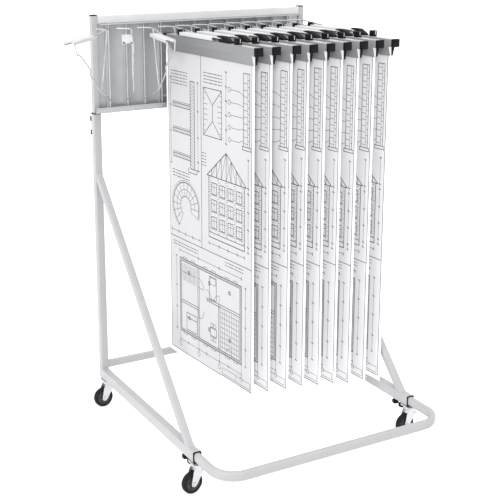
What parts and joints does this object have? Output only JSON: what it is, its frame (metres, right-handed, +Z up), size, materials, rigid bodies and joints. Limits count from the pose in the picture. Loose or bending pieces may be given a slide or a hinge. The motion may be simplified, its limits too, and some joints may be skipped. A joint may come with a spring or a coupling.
{
  "type": "plan hanging rack",
  "caption": "Mobile plan rack: a telescoping mast carries swinging wire hangers with clamps that hold large drawings, on a braced base with a pull-out front bar and swivel casters.",
  "frame": {"origin": "on the floor, under the middle of the box around the whole rack", "axes": "+Z up, +X along the hanger panel from its empty hangers to the loaded ones, -Y the way the plans point"},
  "size_m": [1.2398, 1.076, 1.594],
  "materials": {
    "paint": "light grey powder coat, satin",
    "panel_paint": "mid grey powder coat, satin",
    "wire_steel": "white powder coat on steel wire and strip",
    "black_plastic": "black moulded plastic",
    "aluminium": "anodised extrusion, satin grey",
    "paper": "matt drawing paper",
    "zinc": "zinc plated steel",
    "wheel_rubber": "black rubber tread",
    "pedal_steel": "zinc plated steel"
  },
  "bodies": {
    "base": {"left_side_frame": "paint", "right_side_frame": "paint", "left_upright_collar": "black_plastic", "right_upright_collar": "black_plastic", "left_rail_collar": "black_plastic", "right_rail_collar": "black_plastic", "rear_crossbar": "paint"},
    "mast": {"left_mast_post": "paint", "right_mast_post": "paint", "top_beam": "paint", "hanger_panel": "panel_paint"},
    "front_extension": {"front_bar": "paint"},
    "empty_hanger_1": {"hanger_1": "wire_steel"},
    "empty_hanger_2": {"hanger_2": "wire_steel"},
    "empty_hanger_3": {"hanger_3": "wire_steel"},
    "hanger_leaf_4": {"hanger_4": "wire_steel", "clamp_4": "aluminium", "plan_sheet_4": "paper"},
    "hanger_leaf_5": {"hanger_5": "wire_steel", "clamp_5": "aluminium", "plan_sheet_5": "paper"},
    "hanger_leaf_6": {"hanger_6": "wire_steel", "clamp_6": "aluminium", "plan_sheet_6": "paper"},
    "hanger_leaf_7": {"hanger_7": "wire_steel", "clamp_7": "aluminium", "plan_sheet_7": "paper"},
    "hanger_leaf_8": {"hanger_8": "wire_steel", "clamp_8": "aluminium", "plan_sheet_8": "paper"},
    "hanger_leaf_9": {"hanger_9": "wire_steel", "clamp_9": "aluminium", "plan_sheet_9": "paper"},
    "hanger_leaf_10": {"hanger_10": "wire_steel", "clamp_10": "aluminium", "plan_sheet_10": "paper"},
    "hanger_leaf_11": {"hanger_11": "wire_steel", "clamp_11": "aluminium", "plan_sheet_11": "paper"},
    "hanger_leaf_12": {"hanger_12": "wire_steel", "clamp_12": "aluminium", "plan_sheet_12": "paper"},
    "rear_left_caster": {"rear_left_caster_fork": "zinc"},
    "rear_left_caster_wheel": {"rear_left_wheel": "wheel_rubber"},
    "rear_right_caster": {"rear_right_caster_fork": "zinc"},
    "rear_right_caster_wheel": {"rear_right_wheel": "wheel_rubber"},
    "front_left_caster": {"front_left_caster_fork": "zinc"},
    "front_left_caster_wheel": {"front_left_wheel": "wheel_rubber"},
    "front_left_brake": {"front_left_brake_pedal": "pedal_steel"},
    "front_right_caster": {"front_right_caster_fork": "zinc"},
    "front_right_caster_wheel": {"front_right_wheel": "wheel_rubber"},
    "front_right_brake": {"front_right_brake_pedal": "pedal_steel"},
    "left_base_knob_1_body": {"left_base_knob_1": "black_plastic"},
    "left_mast_knob_1_body": {"left_mast_knob_1": "black_plastic"},
    "left_base_knob_2_body": {"left_base_knob_2": "black_plastic"},
    "left_mast_knob_2_body": {"left_mast_knob_2": "black_plastic"},
    "right_base_knob_1_body": {"right_base_knob_1": "black_plastic"},
    "right_mast_knob_1_body": {"right_mast_knob_1": "black_plastic"},
    "right_base_knob_2_body": {"right_base_knob_2": "black_plastic"},
    "right_mast_knob_2_body": {"right_mast_knob_2": "black_plastic"}
  },
  "joints": [
    {"name": "mast_slide", "type": "slide", "parent": "base", "child": "mast", "axis": [0, 0, 1], "range_m": [0, 0.38]},
    {"name": "front_bar_slide", "type": "slide", "parent": "base", "child": "front_extension", "axis": [0, -1, 0], "range_m": [0, 0.25]},
    {"name": "hanger_1_swing", "type": "hinge", "parent": "mast", "child": "empty_hanger_1", "pos_m": [-0.30778, 0.472, 1.4], "axis": [0, 0, 1], "range_deg": [-16, 15]},
    {"name": "hanger_2_swing", "type": "hinge", "parent": "mast", "child": "empty_hanger_2", "pos_m": [-0.23398, 0.472, 1.4], "axis": [0, 0, 1], "range_deg": [-18, 11]},
    {"name": "hanger_3_swing", "type": "hinge", "parent": "mast", "child": "empty_hanger_3", "pos_m": [-0.16018, 0.472, 1.4], "axis": [0, 0, 1], "range_deg": [-15, 14]},
    {"name": "hanger_4_swing", "type": "hinge", "parent": "mast", "child": "hanger_leaf_4", "pos_m": [-0.08638, 0.472, 1.4], "axis": [0, 0, 1], "range_deg": [-18, 0]},
    {"name": "hanger_5_swing", "type": "hinge", "parent": "mast", "child": "hanger_leaf_5", "pos_m": [-0.01258, 0.472, 1.4], "axis": [0, 0, 1], "range_deg": [-18, 0]},
    {"name": "hanger_6_swing", "type": "hinge", "parent": "mast", "child": "hanger_leaf_6", "pos_m": [0.06122, 0.472, 1.4], "axis": [0, 0, 1], "range_deg": [-18, 0]},
    {"name": "hanger_7_swing", "type": "hinge", "parent": "mast", "child": "hanger_leaf_7", "pos_m": [0.13502, 0.472, 1.4], "axis": [0, 0, 1], "range_deg": [-18, 0]},
    {"name": "hanger_8_swing", "type": "hinge", "parent": "mast", "child": "hanger_leaf_8", "pos_m": [0.20882, 0.472, 1.4], "axis": [0, 0, 1], "range_deg": [-18, 0]},
    {"name": "hanger_9_swing", "type": "hinge", "parent": "mast", "child": "hanger_leaf_9", "pos_m": [0.28262, 0.472, 1.4], "axis": [0, 0, 1], "range_deg": [-18, 0]},
    {"name": "hanger_10_swing", "type": "hinge", "parent": "mast", "child": "hanger_leaf_10", "pos_m": [0.35642, 0.472, 1.4], "axis": [0, 0, 1], "range_deg": [-18, 0]},
    {"name": "hanger_11_swing", "type": "hinge", "parent": "mast", "child": "hanger_leaf_11", "pos_m": [0.43022, 0.472, 1.4], "axis": [0, 0, 1], "range_deg": [-18, 0]},
    {"name": "hanger_12_swing", "type": "hinge", "parent": "mast", "child": "hanger_leaf_12", "pos_m": [0.50402, 0.472, 1.4], "axis": [0, 0, 1], "range_deg": [-18, 0]},
    {"name": "rear_left_swivel", "type": "hinge", "parent": "base", "child": "rear_left_caster", "pos_m": [-0.35788, 0.469, 0.1], "axis": [0, 0, 1], "continuous": true},
    {"name": "rear_left_roll", "type": "hinge", "parent": "rear_left_caster", "child": "rear_left_caster_wheel", "pos_m": [-0.37783, 0.4676, 0.04], "axis": [-0.0698, 0.9976, 0], "continuous": true},
    {"name": "rear_right_swivel", "type": "hinge", "parent": "base", "child": "rear_right_caster", "pos_m": [0.57212, 0.469, 0.1], "axis": [0, 0, 1], "continuous": true},
    {"name": "rear_right_roll", "type": "hinge", "parent": "rear_right_caster", "child": "rear_right_caster_wheel", "pos_m": [0.55242, 0.46553, 0.04], "axis": [-0.1736, 0.9848, 0], "continuous": true},
    {"name": "front_left_swivel", "type": "hinge", "parent": "base", "child": "front_left_caster", "pos_m": [-0.35788, -0.33, 0.1], "axis": [0, 0, 1], "continuous": true},
    {"name": "front_left_roll", "type": "hinge", "parent": "front_left_caster", "child": "front_left_caster_wheel", "pos_m": [-0.37769, -0.33278, 0.04], "axis": [-0.1392, 0.9903, 0], "continuous": true},
    {"name": "front_left_brake_press", "type": "hinge", "parent": "front_left_caster", "child": "front_left_brake", "pos_m": [-0.34105, -0.32763, 0.082], "axis": [-0.1392, 0.9903, 0], "range_deg": [0, 20]},
    {"name": "front_right_swivel", "type": "hinge", "parent": "base", "child": "front_right_caster", "pos_m": [0.57212, -0.33, 0.1], "axis": [0, 0, 1], "continuous": true},
    {"name": "front_right_roll", "type": "hinge", "parent": "front_right_caster", "child": "front_right_caster_wheel", "pos_m": [0.55219, -0.33174, 0.04], "axis": [-0.0872, 0.9962, 0], "continuous": true},
    {"name": "front_right_brake_press", "type": "hinge", "parent": "front_right_caster", "child": "front_right_brake", "pos_m": [0.58905, -0.32852, 0.082], "axis": [-0.0872, 0.9962, 0], "range_deg": [0, 20]},
    {"name": "left_base_knob_1_turn", "type": "hinge", "parent": "base", "child": "left_base_knob_1_body", "pos_m": [-0.35788, -0.287, 0.112], "axis": [0, 0, 1], "continuous": true},
    {"name": "left_mast_knob_1_turn", "type": "hinge", "parent": "base", "child": "left_mast_knob_1_body", "pos_m": [-0.35788, 0.514, 1.189], "axis": [0, 1, 0], "continuous": true},
    {"name": "left_base_knob_2_turn", "type": "hinge", "parent": "base", "child": "left_base_knob_2_body", "pos_m": [-0.35788, -0.247, 0.112], "axis": [0, 0, 1], "continuous": true},
    {"name": "left_mast_knob_2_turn", "type": "hinge", "parent": "base", "child": "left_mast_knob_2_body", "pos_m": [-0.35788, 0.514, 1.136], "axis": [0, 1, 0], "continuous": true},
    {"name": "right_base_knob_1_turn", "type": "hinge", "parent": "base", "child": "right_base_knob_1_body", "pos_m": [0.57212, -0.287, 0.112], "axis": [0, 0, 1], "continuous": true},
    {"name": "right_mast_knob_1_turn", "type": "hinge", "parent": "base", "child": "right_mast_knob_1_body", "pos_m": [0.57212, 0.514, 1.189], "axis": [0, 1, 0], "continuous": true},
    {"name": "right_base_knob_2_turn", "type": "hinge", "parent": "base", "child": "right_base_knob_2_body", "pos_m": [0.57212, -0.247, 0.112], "axis": [0, 0, 1], "continuous": true},
    {"name": "right_mast_knob_2_turn", "type": "hinge", "parent": "base", "child": "right_mast_knob_2_body", "pos_m": [0.57212, 0.514, 1.136], "axis": [0, 1, 0], "continuous": true}
  ],
  "couplings": [
    {"joint": "hanger_5_swing", "follows": "hanger_4_swing", "ratio": 1},
    {"joint": "hanger_6_swing", "follows": "hanger_4_swing", "ratio": 1},
    {"joint": "hanger_7_swing", "follows": "hanger_4_swing", "ratio": 1},
    {"joint": "hanger_8_swing", "follows": "hanger_4_swing", "ratio": 1},
    {"joint": "hanger_9_swing", "follows": "hanger_4_swing", "ratio": 1},
    {"joint": "hanger_10_swing", "follows": "hanger_4_swing", "ratio": 1},
    {"joint": "hanger_11_swing", "follows": "hanger_4_swing", "ratio": 1},
    {"joint": "hanger_12_swing", "follows": "hanger_4_swing", "ratio": 1}
  ]
}
